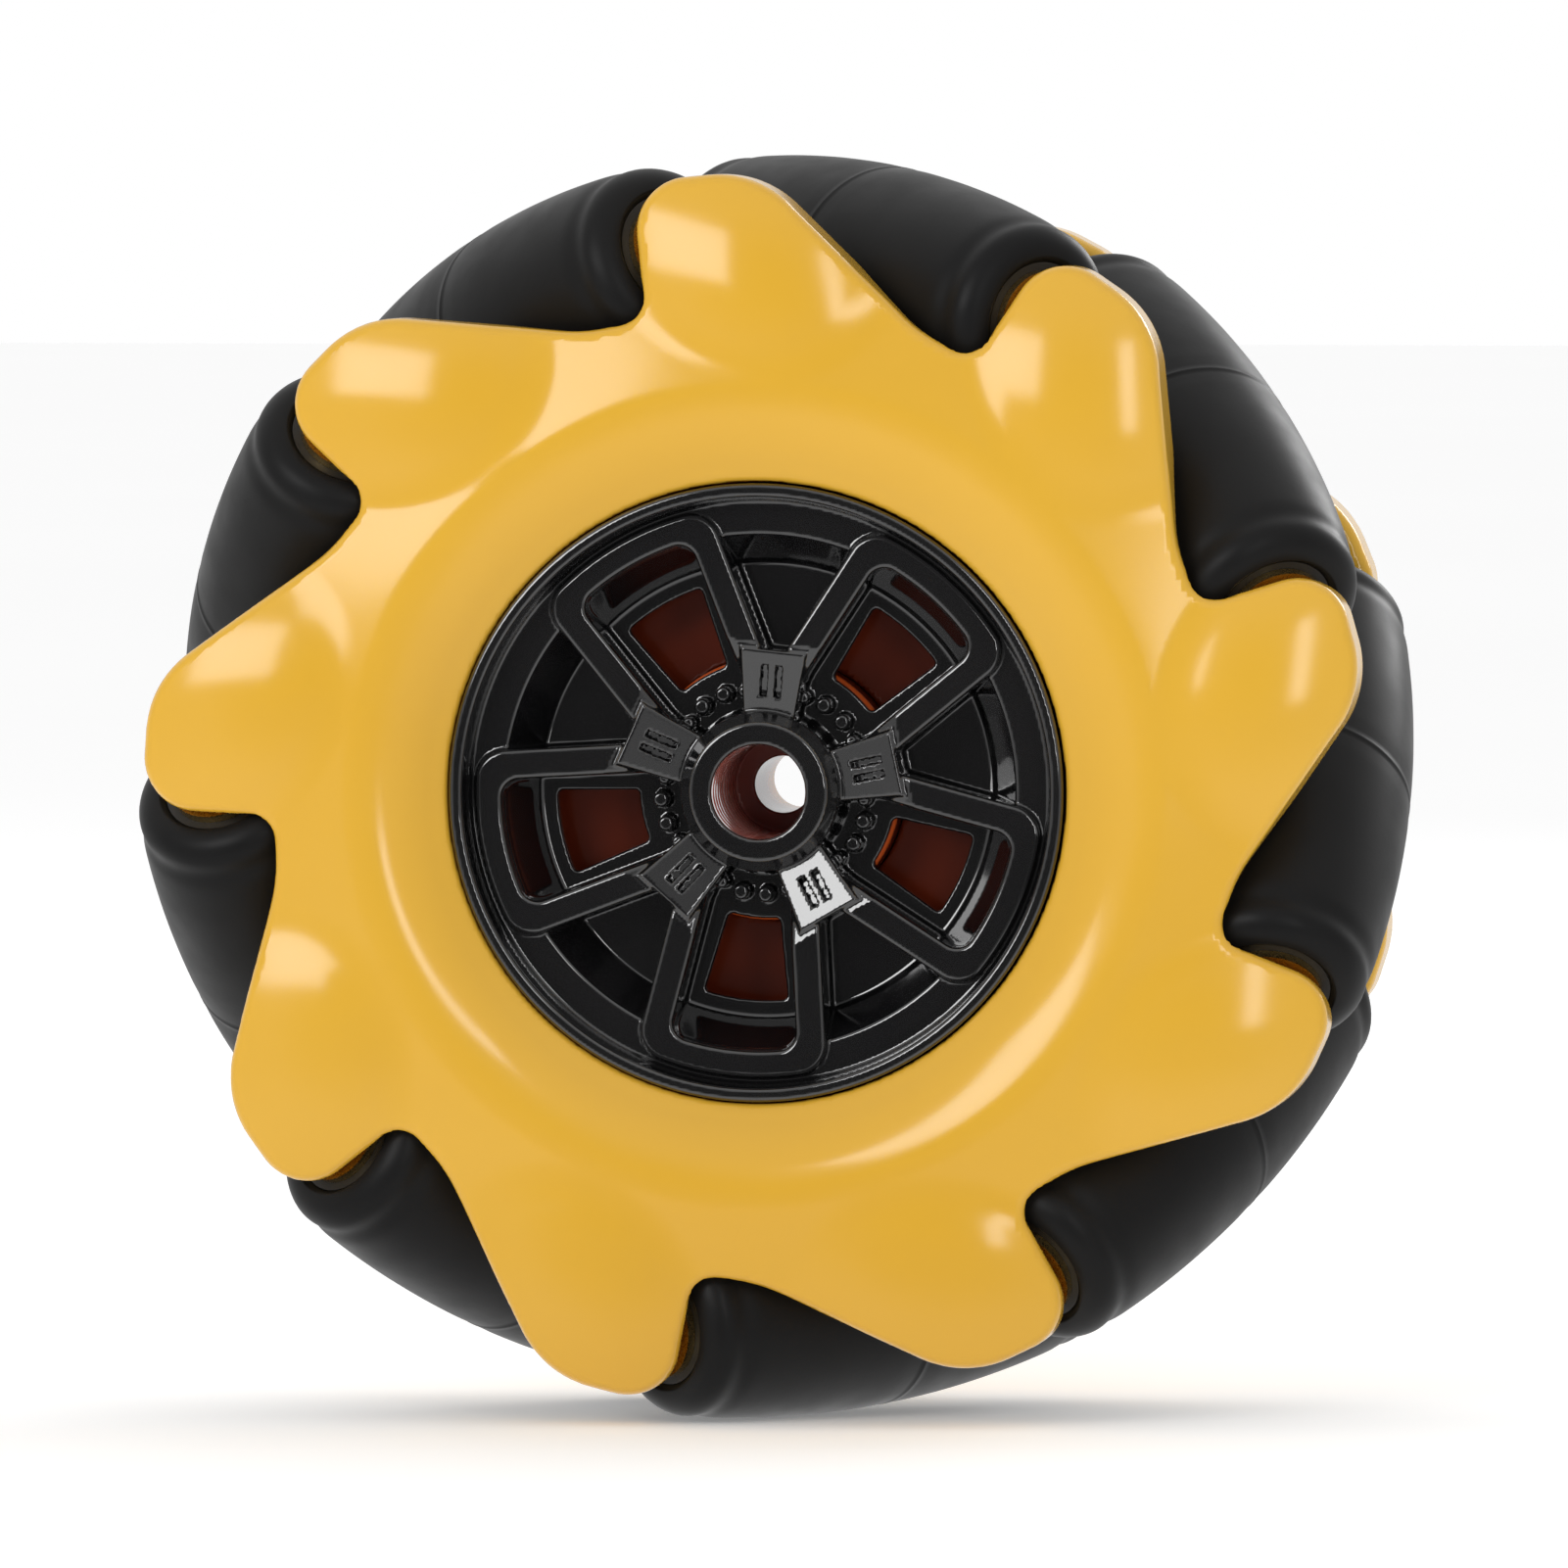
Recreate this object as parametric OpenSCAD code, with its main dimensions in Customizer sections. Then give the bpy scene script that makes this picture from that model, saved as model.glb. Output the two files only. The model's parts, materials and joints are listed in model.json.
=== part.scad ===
// Mecanum wheel: nine barrel rollers held at 45 degrees between two lobed plates.
// The axle runs along Y, with the hub cap towards -Y and +Z up.
// Each part is drawn lying down, with its local Z along the axle and towards the hub cap,
// and stand_up() turns it into place.

/* [Wheel] */
// Diameter over the rollers
wheel_d = 97; // [96.6:0.1:97.4]
// Width over the two plates
wheel_w = 42; // [41.8:0.1:42.6]
// Hand of the wheel, seen from the hub cap
hand = "left"; // [left, right]

/* [Rollers] */
// Angle between a roller's axis and the wheel's axle
roller_angle = 45; // [44.5:0.1:45.5]
// Radius of a roller at its middle
roller_r = 9.2; // [8.9:0.1:9.4]
// Length of a roller's rubber
roller_l = 39.8; // [39:0.2:40]
// Rounding of a roller's shoulders
roller_shoulder = 2.2; // [1.6:0.1:2.6]
// Outer radius of the moulded core inside the rubber
core_r = 4.6; // [4.3:0.1:4.8]
// Diameter of a roller's steel pin
pin_d = 3; // [2.6:0.1:3.2]
// Radial clearance between a pin and its bushes
running_gap = 0.05; // [0.02:0.01:0.08]

/* [Plates] */
// Distance from the axle to the tip of a lobe
lobe_tip_r = 47.2; // [46.8:0.1:47.3]
// Radius of the rounded pin boss on each lobe
boss_r = 5; // [4.8:0.1:5.1]
// Gap between a roller and the plates around it
roller_gap = 0.7; // [0.6:0.05:0.9]
// Outer radius of the drum that joins the plates
drum_r = 27.4; // [27:0.1:28]

/* [Hub] */
// Radius of the hub cap's rim
cap_r = 23.6; // [23.4:0.1:23.8]
// Radius of the hub cap's centre boss
cap_boss_r = 6.1; // [5.8:0.1:6.4]
// Radius of the passage for the screw's head
head_bore_r = 3.6; // [3.5:0.05:3.8]
// Radius of the hole for the axle screw
screw_bore_r = 2.2; // [2.1:0.05:2.4]
// Width across the flats of the hexagonal drive socket
hex_af = 12.2; // [12.1:0.05:12.4]
// Depth of the drive socket
hex_depth = 8.5; // [7:0.5:9]

/* [Hidden] */
ROLLERS = 9;
SPOKES = 5;

yellow = "#E6B43C";
black = "#161616";
rubber = "#1E1E1E";
steel = "#B9BCC0";
brass = "#C9A24B";

step = 360 / ROLLERS;
first_roller = 38.75;      // angle of the first roller's middle, from +X
tip_to_roller = 23.25;     // a front lobe's tip is this far clockwise of its roller
cap_turn = -96;            // angle of the hub cap's first window
rib_turn = -93;            // angle of the rear plate's first rib
seat = 0.03;               // radial play of a seated part
smooth = 96;               // facets of a full turn on screen

wheel_r = wheel_d / 2;
half_w = wheel_w / 2;
axis_r = wheel_r - roller_r;       // from the axle to a roller's middle
half_l = roller_l / 2;
wall_s = half_l + roller_gap;      // along a roller's axis to its lobe's wall

// Width levels of the front plate, measured from the wheel's mid-plane
lobe_front = half_w - 2.8;
lobe_back = half_w - 8.4;
lip_z = half_w - 3.1;
web_back = 3;
web_front = 5.5;

drum_wall = 3;
bed_r = drum_r - drum_wall;        // inside of the drum, where the cap sits
tube_r = 10.1;                     // outside of the hub core's tube
flange_r = 13;
post_ring_r = 18.5;
post_r = 3;
screw_r = 1.25;
screw_head_r = 2.4;

tube_front = 9;
hub_rear = half_w - 0.5;
counterbore_floor = 0.6;

// ---- Outlines ----

function unit(v) = v / norm(v);

// Corner p = [x, y, rounding] between the corners a and b, as points on its rounding
function fillet(a, p, b, parts) =
    let (
        here = [p.x, p.y],
        back = unit([a.x, a.y] - here),
        on = unit([b.x, b.y] - here),
        half = acos(back * on) / 2,
        centre = here + unit(back + on) * p.z / sin(half),
        first = here + back * p.z / tan(half) - centre,
        last = here + on * p.z / tan(half) - centre,
        start = atan2(first.y, first.x),
        turn = (atan2(last.y, last.x) - start + 540) % 360 - 180
    )
    p.z == 0 ? [here] : [
        for (k = [0:parts])
            centre + p.z * [cos(start + turn * k / parts), sin(start + turn * k / parts)]
    ];

// Closed outline with its corners rounded
function rounded(corners, parts = 5) =
    let (n = len(corners))
    [for (i = [0:n - 1]) each fillet(corners[(i + n - 1) % n], corners[i], corners[(i + 1) % n], parts)];

// A point given across and out from the tip of a lobe at this angle
function at_tip(angle, p) = [
    p.y * cos(angle) - p.x * sin(angle),
    p.y * sin(angle) + p.x * cos(angle),
    p.z
];

function roller_angle_at(i) = first_roller + step * i;
function tip_angle(i) = roller_angle_at(i) - tip_to_roller;

// Corners of one lobe, [across, out, rounding], from its sloping side to its steep side
lobe = [
    [-15.8, 33.9, 12],
    [-4.6, lobe_tip_r, 8],
    [5.1, lobe_tip_r, 4],
    [4.8, 36.7, 2.1]
];
lobed_outline = rounded([for (i = [0:ROLLERS - 1]) each [for (c = lobe) at_tip(tip_angle(i), c)]]);

// Section of the ring inside the lobes: dish, crest, outer slope, back and drum
ring_section = rounded([
    [bed_r, lip_z, 0.4],
    [bed_r + 3.2, half_w, 2.4],
    [bed_r + 7, half_w, 8],
    [36.9, lobe_front + 0.3, 2],
    [36.9, lobe_back + 1, 1],
    [30.5, lobe_back, 2],
    [drum_r, 7.5, 2],
    [drum_r, 0, 0],
    [bed_r, 0, 0]
]);

// A roller's side rolls on the wheel's outer circle: its radius and its place along
// its own axis, for the point that touches this far round the wheel
function side_depth(round_by) = wheel_r - axis_r / cos(round_by);
function side_r(round_by) = side_depth(round_by) * sqrt(1 - pow(sin(round_by) * sin(roller_angle), 2));
function side_s(round_by) =
    axis_r * tan(round_by) / sin(roller_angle) + side_depth(round_by) * sin(round_by) * sin(roller_angle);

shoulder_tilt = 12.4;      // slope of the barrel's side where the shoulder starts
shoulder_s = half_l - roller_shoulder * (1 - sin(shoulder_tilt));
side_end = lookup(shoulder_s, [for (a = [0:0.5:24]) [side_s(a), a]]);
shoulder_centre_r = side_r(side_end) - roller_shoulder * cos(shoulder_tilt);
barrel_half = concat(
    [for (k = [1:7]) [side_r(side_end * k / 7), side_s(side_end * k / 7)]],
    [for (a = [62:-15.5:0]) [
        shoulder_centre_r + roller_shoulder * sin(a),
        half_l - roller_shoulder * (1 - cos(a))
    ]]
);
barrel_ends = concat(
    [for (k = [len(barrel_half) - 1:-1:0]) [barrel_half[k].x, -barrel_half[k].y]],
    [[roller_r, 0]],
    barrel_half
);

// ---- Placing ----

module stand_up() mirror([hand == "right" ? 1 : 0, 0, 0]) rotate([90, 0, 0]) children();

// Local Z runs along the axis of roller i, towards the front
module at_roller(i)
    rotate([0, 0, roller_angle_at(i)])
        translate([axis_r, 0, 0])
            rotate([roller_angle, 0, 0])
                children();

module each_roller() for (i = [0:ROLLERS - 1]) at_roller(i) children();

// The rear plate is the front one turned half a turn about a roller's radial line
module turn_to_rear() rotate(a = 180, v = [cos(first_roller), sin(first_roller), 0]) children();

module tube(outer, inner, from, to)
    rotate_extrude($fn = smooth)
        polygon([[inner, from], [outer, from], [outer, to], [inner, to]]);

// ---- Rollers ----

module roller_tyre(i)
    color(rubber)
        stand_up()
            at_roller(i)
                rotate_extrude($fn = smooth)
                    polygon(concat([[core_r + seat, -half_l]], barrel_ends, [[core_r + seat, half_l]]));

bush_r = 2.9;
bush_l = 7;
flange_t = 0.7;
core_half = half_l - 0.4;

module roller_core(i)
    color(black)
        stand_up()
            at_roller(i)
                tube(core_r, bush_r + seat, -core_half, core_half);

// The two flanged bushes that carry a roller on its pin
module roller_bushes(i)
    color(brass)
        stand_up()
            at_roller(i)
                for (side = [0, 1])
                    mirror([0, 0, side])
                        rotate_extrude($fn = smooth)
                            polygon([
                                [pin_d / 2 + running_gap, core_half - bush_l],
                                [bush_r, core_half - bush_l],
                                [bush_r, core_half + 0.02],
                                [core_r - 0.6, core_half + 0.02],
                                [core_r - 0.6, core_half + flange_t],
                                [pin_d / 2 + running_gap, core_half + flange_t]
                            ]);

pin_half = half_l + 5.4;

module roller_pin(i)
    color(steel)
        stand_up()
            at_roller(i)
                rotate_extrude($fn = smooth)
                    polygon(rounded([
                        [0, -pin_half, 0],
                        [pin_d / 2, -pin_half, 0.3],
                        [pin_d / 2, pin_half, 0.3],
                        [0, pin_half, 0]
                    ], 3));

// ---- Plates ----

// The space a roller needs to turn in, with its gap all round
module roller_space() {
    wide = roller_r + roller_gap;
    end_wide = side_r(side_end) + roller_gap;
    rotate_extrude($fn = smooth)
        polygon([
            [0, -wall_s],
            [end_wide - 1.4, -wall_s],
            [end_wide + 0.1, -half_l + 1.2],
            [wide - 0.55, -half_l / 2],
            [wide, 0],
            [wide - 0.55, half_l / 2],
            [end_wide + 0.1, half_l - 1.2],
            [end_wide - 1.4, wall_s],
            [0, wall_s]
        ]);
}

module capsule(from, to, r) {
    way = to - from;
    long = norm(way);
    translate(from)
        rotate([0, acos(way.z / long), atan2(way.y, way.x)]) {
            cylinder(h = long, r = r, $fn = smooth);
            sphere(r, $fn = smooth);
            translate([0, 0, long]) sphere(r, $fn = smooth);
        }
}

// Rounded boss that covers the end of a pin, leaning towards the sloping side of its lobe
module pin_boss(i) {
    outer = at_tip(tip_angle(i), [0.6, lobe_tip_r - 5, 0]);
    inner = at_tip(tip_angle(i), [-5.2, lobe_tip_r - 10.4, 0]);
    capsule(
        [outer.x, outer.y, half_w - 5.9],
        [inner.x, inner.y, half_w - 5.4],
        boss_r
    );
}

module plate_blank() {
    rotate_extrude($fn = smooth) polygon(ring_section);
    translate([0, 0, lobe_back])
        linear_extrude(lobe_front - lobe_back)
            difference() {
                polygon(lobed_outline);
                circle(32, $fn = smooth);
            }
    for (i = [0:ROLLERS - 1]) pin_boss(i);
}

module roller_cuts() {
    each_roller() roller_space();
    each_roller()
        translate([0, 0, wall_s - 1])
            cylinder(h = pin_half - wall_s + 1.2, r = pin_d / 2 + seat, $fn = 48);
}

module at_posts()
    for (i = [0:SPOKES - 1])
        rotate([0, 0, rib_turn + 180 / SPOKES + 360 / SPOKES * i])
            translate([post_ring_r, 0, 0])
                children();

module front_plate()
    color(yellow)
        stand_up() {
            difference() {
                plate_blank();
                roller_cuts();
            }
            difference() {
                union() {
                    tube(bed_r + 0.5, tube_r + seat, web_back, web_front);
                    at_posts()
                        translate([0, 0, -web_back + 0.02])
                            cylinder(h = web_back * 2 + 0.5, r = post_r, $fn = 48);
                }
                at_posts() translate([0, 0, -web_back]) cylinder(h = 7, r = screw_r + seat, $fn = 48);
            }
        }

rib_t = 1.6;
rib_deep = 13.5;

// The rear half of the wheel, with ribs from the drum in to a collar round the hub core
module rear_plate()
    color(yellow)
        stand_up() {
            difference() {
                turn_to_rear() plate_blank();
                turn_to_rear() roller_cuts();
            }
            difference() {
                union() {
                    mirror([0, 0, 1]) tube(bed_r + 0.5, tube_r + seat, web_back, web_front);
                    mirror([0, 0, 1]) tube(tube_r + 2, tube_r + seat, web_back + 1, rib_deep);
                    for (i = [0:SPOKES - 1])
                        rotate([0, 0, rib_turn + 360 / SPOKES * i])
                            translate([tube_r + 1, -rib_t / 2, -rib_deep + 0.3])
                                cube([bed_r - tube_r - 0.6, rib_t, rib_deep - web_back - 1.3]);
                }
                at_posts() translate([0, 0, -web_front - 1]) cylinder(h = 4, r = screw_r + 0.15, $fn = 48);
            }
        }

// The five screws that draw the plates together, put in from the rear
module plate_screws()
    color(steel)
        stand_up()
            at_posts()
                difference() {
                    union() {
                        translate([0, 0, -web_front - 1]) cylinder(h = 9.5, r = screw_r, $fn = 48);
                        translate([0, 0, -web_front - 1.8]) cylinder(h = 1.8, r = screw_head_r, $fn = 48);
                    }
                    for (turn = [0, 90])
                        rotate([0, 0, turn])
                            translate([-1.4, -0.3, -web_front - 2])
                                cube([2.8, 0.6, 1.2]);
                }

// ---- Hub ----

// Tube on the wheel's axle: passage for the screw's head in front, hexagonal socket behind
module hub_core()
    color(yellow)
        stand_up()
            difference() {
                rotate_extrude($fn = smooth)
                    polygon([
                        [0, -hub_rear],
                        [tube_r - 0.6, -hub_rear],
                        [tube_r, -hub_rear + 0.6],
                        [tube_r, -web_back + 0.02],
                        [flange_r, -web_back + 0.02],
                        [flange_r, web_back - 0.02],
                        [tube_r, web_back - 0.02],
                        [tube_r, tube_front - 0.4],
                        [tube_r - 0.4, tube_front],
                        [0, tube_front]
                    ]);
                translate([0, 0, counterbore_floor]) cylinder(h = 10, r = head_bore_r, $fn = smooth);
                translate([0, 0, -20]) cylinder(h = 25, r = screw_bore_r, $fn = smooth);
                translate([0, 0, -hub_rear - 1])
                    cylinder(h = hex_depth + 1, r = hex_af / 2 / cos(30), $fn = 6);
            }

cap_floor = 9.1;           // back of the cap's pierced floor
cap_floor_t = 1.2;
spoke_front = 16;
spoke_w = 2.3;
spoke_turn = 8.8;          // a spoke leans this far from its window's middle line
spoke_off = 3.06;          // from the axle to a spoke's middle line
cap_frame_r = 21;          // middle of the arc that closes each window's frame
shelf_top = 15.2;          // flat ring between the rim and the recessed floor
shelf_in = 19.7;
shelf_foot = 17.5;         // where the shelf's sloping wall meets the floor
window_in = 9.9;
window_out = 16.2;
window_half = 11.5;        // half a window's width, in degrees

module sector(inner, outer, half, h)
    linear_extrude(h)
        polygon(concat(
            [for (a = [-half:half / 4:half]) outer * [cos(a), sin(a)]],
            [for (a = [half:-half / 4:-half]) inner * [cos(a), sin(a)]]
        ));

// One window's frame: two spokes joined by an arc near the rim
module window_frame() {
    translate([0, 0, shelf_top - 0.8])
        sector(cap_frame_r - 1.2, cap_frame_r + 1.1, 18.5, spoke_front - shelf_top + 0.7);
    for (side = [-1, 1])
        rotate([0, 0, side * spoke_turn])
            translate([8.4, side * spoke_off - spoke_w / 2, cap_floor + 0.5])
                cube([cap_frame_r - 8.3, spoke_w, spoke_front - cap_floor - 0.5]);
}

module hub_cap()
    color(black)
        stand_up()
            difference() {
                union() {
                    rotate_extrude($fn = smooth)
                        polygon(rounded([
                            [head_bore_r, cap_floor, 0],
                            [shelf_foot + 0.6, cap_floor, 0],
                            [shelf_in, shelf_top - 1.8, 0],
                            [cap_r - 1.8, shelf_top - 1.8, 0],
                            [cap_r - 1.8, cap_floor, 0],
                            [cap_r - 0.4, cap_floor, 0],
                            [cap_r, lip_z - 3.5, 0],
                            [cap_r, lip_z + 0.3, 0.5],
                            [cap_r - 1, lip_z + 0.3, 0.4],
                            [cap_r - 1.3, shelf_top, 0.3],
                            [shelf_in, shelf_top, 0.4],
                            [shelf_foot, cap_floor + cap_floor_t, 0.4],
                            [cap_boss_r, cap_floor + cap_floor_t, 0.4],
                            [cap_boss_r, half_w - 4.6, 0.5],
                            [head_bore_r, half_w - 4.6, 0.3]
                        ], 3));
                    for (i = [0:SPOKES - 1])
                        rotate([0, 0, cap_turn + 360 / SPOKES * i]) {
                            window_frame();
                            rotate([0, 0, 180 / SPOKES])
                                translate([0, 0, cap_floor + 0.4])
                                    sector(cap_boss_r - 0.7, 11, 13, spoke_front - cap_floor - 0.6);
                            translate([7.7, 0, cap_floor + 0.4])
                                cylinder(h = 3.4, r = 0.9, $fn = 24);
                        }
                }
                for (i = [0:SPOKES - 1])
                    rotate([0, 0, cap_turn + 360 / SPOKES * i])
                        translate([0, 0, cap_floor - 1])
                            sector(window_in, window_out, window_half, cap_floor_t + 2);
            }

front_plate();
rear_plate();
hub_cap();
hub_core();
plate_screws();
for (i = [0:ROLLERS - 1]) {
    roller_pin(i);
    roller_tyre(i);
    roller_core(i);
    roller_bushes(i);
}
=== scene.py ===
"""Looks for the mecanum wheel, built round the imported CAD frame.

The plates, the hub cap and the hub core are moulded shapes with soft edges, so each is built from
a distance field: a function that gives, for any point, how far outside the plastic it is. A mesh is
then laid over the field's zero surface. The fields work in millimetres with the wheel lying down:
local Z runs along the axle towards the hub cap, and local X and Y are the wheel's plane.
"""
import json
import math

import bpy
import numpy as np
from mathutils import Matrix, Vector


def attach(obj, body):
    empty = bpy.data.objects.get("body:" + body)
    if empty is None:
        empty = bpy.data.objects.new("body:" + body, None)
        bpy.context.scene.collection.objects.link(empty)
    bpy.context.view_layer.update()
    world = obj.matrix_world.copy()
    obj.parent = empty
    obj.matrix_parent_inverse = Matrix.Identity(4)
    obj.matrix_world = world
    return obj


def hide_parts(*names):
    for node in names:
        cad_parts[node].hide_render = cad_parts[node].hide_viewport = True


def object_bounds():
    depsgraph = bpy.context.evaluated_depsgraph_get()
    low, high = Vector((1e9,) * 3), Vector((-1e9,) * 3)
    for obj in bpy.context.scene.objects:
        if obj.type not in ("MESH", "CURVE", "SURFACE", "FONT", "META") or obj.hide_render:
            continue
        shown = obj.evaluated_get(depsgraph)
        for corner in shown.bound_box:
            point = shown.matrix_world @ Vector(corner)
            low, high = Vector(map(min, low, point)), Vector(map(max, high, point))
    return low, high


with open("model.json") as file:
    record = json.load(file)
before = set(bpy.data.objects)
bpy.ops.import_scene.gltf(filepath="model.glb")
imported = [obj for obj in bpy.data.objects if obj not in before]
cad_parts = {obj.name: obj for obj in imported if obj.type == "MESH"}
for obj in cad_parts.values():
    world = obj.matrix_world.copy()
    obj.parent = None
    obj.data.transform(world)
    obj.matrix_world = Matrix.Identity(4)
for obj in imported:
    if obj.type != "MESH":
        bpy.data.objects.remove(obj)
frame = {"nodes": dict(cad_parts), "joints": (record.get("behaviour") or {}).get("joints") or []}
CAD_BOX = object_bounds()

MM = 0.001
NODES = frame["nodes"]
JOINTS = frame["joints"]
ROLLERS = len(JOINTS)
SPOKES = 5


# ---- Sizes taken from the frame ----

def lying(points):
    """Points of the standing wheel, in metres, as points of the lying wheel, in millimetres."""
    p = np.asarray(points, float).reshape(-1, 3) / MM
    return np.stack([p[:, 0], p[:, 2], -p[:, 1]], 1)


def standing(points):
    """Points of the lying wheel, in millimetres, as points of the standing wheel, in metres."""
    return np.stack([points[:, 0], -points[:, 2], points[:, 1]], 1) * MM


def node_points(name):
    mesh = NODES[name].data
    flat = np.empty(len(mesh.vertices) * 3, np.float32)
    mesh.vertices.foreach_get("co", flat)
    return lying(flat)


def reach(name):
    """Smallest and largest distance from the axle, and lowest and highest level, of a CAD node."""
    p = node_points(name)
    r = np.hypot(p[:, 0], p[:, 1])
    return r.min(), r.max(), p[:, 2].min(), p[:, 2].max()


FIRST = lying(JOINTS[0]["pos_m"])[0]
FIRST_ROLLER = math.degrees(math.atan2(FIRST[1], FIRST[0]))
AXIS_R = math.hypot(FIRST[0], FIRST[1])
TILT = math.acos(abs(JOINTS[0]["axis"][1]))        # a roller's axis against the axle
STEP = 360 / ROLLERS

WHEEL_R = reach("roller_tyre_1")[1]
ROLLER_R = WHEEL_R - AXIS_R
HALF_W = reach("front_plate")[3]
CAP_IN, CAP_R, CAP_BACK, CAP_FRONT = reach("hub_cap")
_, CORE_FLANGE_R, CORE_REAR, CORE_FRONT = reach("hub_core")


def along_roller(points, index):
    """Points as (distance from, place along) the axis of a roller."""
    a = math.radians(FIRST_ROLLER + STEP * index)
    x = points[:, 0] * math.cos(a) + points[:, 1] * math.sin(a) - AXIS_R
    y = points[:, 1] * math.cos(a) - points[:, 0] * math.sin(a)
    s = points[:, 2] * math.cos(TILT) - y * math.sin(TILT)
    w = y * math.cos(TILT) + points[:, 2] * math.sin(TILT)
    return np.hypot(x, w), s


TYRE_SIDE = along_roller(node_points("roller_tyre_1"), 0)
HALF_L = TYRE_SIDE[1].max()
CORE_R = along_roller(node_points("roller_core_1"), 0)[0].max()

TIP_R = 47.2                # from the axle to the tip of a lobe
TIP_TO_ROLLER = 23.25       # a front lobe's tip is this far clockwise of its roller
ROLLER_GAP = 0.7
ROLLER_END_R = 6.9          # radius of the free room at a roller's ends, less the gap
RIB_TURN = -93.0            # angle of the rear plate's first rib


# ---- Distance fields ----

def cut(a, b, rounding):
    """Both a and b, with their common edge rounded."""
    edge = np.hypot(np.maximum(a + rounding, 0), np.maximum(b + rounding, 0))
    return np.minimum(-rounding, np.maximum(a, b)) + edge


def join(a, b, rounding):
    """Either a or b, with a fillet where they meet."""
    return -cut(-a, -b, rounding)


def melt(a, b, width):
    """Either a or b, flowing into each other over this width."""
    near = np.maximum(width - np.abs(a - b), 0) / width
    return np.minimum(a, b) - near * near * width / 4


class Outline:
    """Closed anticlockwise outline with rounded corners [x, y, rounding]."""

    def __init__(self, corners):
        pts = np.array([c[:2] for c in corners], float)
        n = len(pts)
        self.lines, self.arcs = [], []
        starts, ends = [], []
        for i in range(n):
            back, on = pts[i - 1] - pts[i], pts[(i + 1) % n] - pts[i]
            back, on = back / np.hypot(*back), on / np.hypot(*on)
            half = math.acos(float(np.clip(back @ on, -1, 1))) / 2
            r = corners[i][2]
            middle = (back + on) / np.hypot(*(back + on))
            left_turn = on[0] * back[1] - on[1] * back[0] > 0
            centre = pts[i] + middle * r / math.sin(half)
            self.arcs.append((centre, r, -middle, math.sin(half), 1 if left_turn else -1))
            ends.append(pts[i] + back * r / math.tan(half))
            starts.append(pts[i] + on * r / math.tan(half))
        for i in range(n):
            a, b = starts[i], ends[(i + 1) % n]
            self.lines.append((a, (b - a) / np.hypot(*(b - a)), np.hypot(*(b - a))))

    def distance(self, x, y, pick=None):
        """Distance outside the outline, negative inside."""
        best = np.full(x.shape, 1e9)
        picked = range(len(self.lines)) if pick is None else pick
        for i in picked:
            a, way, long = self.lines[i]
            t = (x - a[0]) * way[0] + (y - a[1]) * way[1]
            d = (x - a[0]) * way[1] - (y - a[1]) * way[0]
            d = np.where((t > -1e-6) & (t < long + 1e-6), d, 1e9)
            best = np.where(np.abs(d) < np.abs(best), d, best)
            c, r, middle, cos_half, sign = self.arcs[i]
            dx, dy = x - c[0], y - c[1]
            away = np.hypot(dx, dy) + 1e-12
            within = dx * middle[0] + dy * middle[1] >= cos_half * away - 1e-9
            d = np.where(within, sign * (away - r), 1e9)
            best = np.where(np.abs(d) < np.abs(best), d, best)
        return best


def fold(points, first, count):
    """Turns every point about the axle into the sector round the direction `first`, in degrees."""
    part = 2 * math.pi / count
    angle = np.arctan2(points[:, 1], points[:, 0]) - math.radians(first)
    angle -= part * np.round(angle / part)
    r = np.hypot(points[:, 0], points[:, 1])
    return r * np.cos(angle), r * np.sin(angle)


# One lobe's corners, [out, across, rounding], from its sloping side to its steep side
LOBE = [[33.9, -15.8, 12], [TIP_R, -4.6, 8], [TIP_R, 5.1, 4], [36.7, 4.8, 2.1]]


def lobe_corners():
    corners = []
    for i in range(ROLLERS):
        a = math.radians(STEP * i)
        for out, across, r in LOBE:
            corners.append([
                out * math.cos(a) - across * math.sin(a),
                out * math.sin(a) + across * math.cos(a),
                r,
            ])
    return corners


LOBES = Outline(lobe_corners())
NEAR_LOBES = [i % (len(LOBE) * ROLLERS) for i in range(-len(LOBE), 2 * len(LOBE))]


def roller_space(points):
    """The room round the nearest rollers that the plates leave free."""
    part = math.radians(STEP)
    angle = np.arctan2(points[:, 1], points[:, 0]) - math.radians(FIRST_ROLLER)
    r = np.hypot(points[:, 0], points[:, 1])
    bulge = ROLLER_R - ROLLER_END_R
    belly = (HALF_L ** 2 + bulge ** 2) / (2 * bulge)
    best = np.full(len(points), 1e9)
    index = np.round((angle + math.radians(10)) / part)
    for k in (-1, 0, 1):
        a = angle - (index + k) * part
        x, y, z = r * np.cos(a) - AXIS_R, r * np.sin(a), points[:, 2]
        s = z * math.cos(TILT) - y * math.sin(TILT)
        w = y * math.cos(TILT) + z * math.sin(TILT)
        rho = np.hypot(x, w)
        side = np.hypot(rho - (ROLLER_R + ROLLER_GAP - belly), s) - belly
        end = np.abs(s) - (HALF_L + ROLLER_GAP)
        best = np.minimum(best, cut(side, end, 2.4))
    return best


BED_R = 24.4                # the web and the ribs reach into the drum's wall from here
CAP_GAP = 0.12              # the drum's wall stands this far round the cap
DRUM_R = 27.4
LIP_Z = HALF_W - 3.1
CREST_R = 27.6
DISH_IN, DISH_UP = 0.696, 0.718         # the way the dish's wall faces: in to the axle, and up
FACE_PROUD = 0.12           # the rounding of the crest takes this much off again
FACE_SCALE = 0.95           # brings the height above a sloping face near to the distance from it
FALL = 0.25                 # how steeply the lobed face falls away outwards
FALL_FROM, FALL_SOFT = 29.6, 6.0        # where the fall sets in, and how gently
DOME_TOP = HALF_W - 0.35    # the dome over each pin's end
DOME_OUT, DOME_ACROSS = 36.6, -3.9
DOME_LONG, DOME_SHORT = 28.0, 20.0      # radii of curvature along and across the dome
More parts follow.
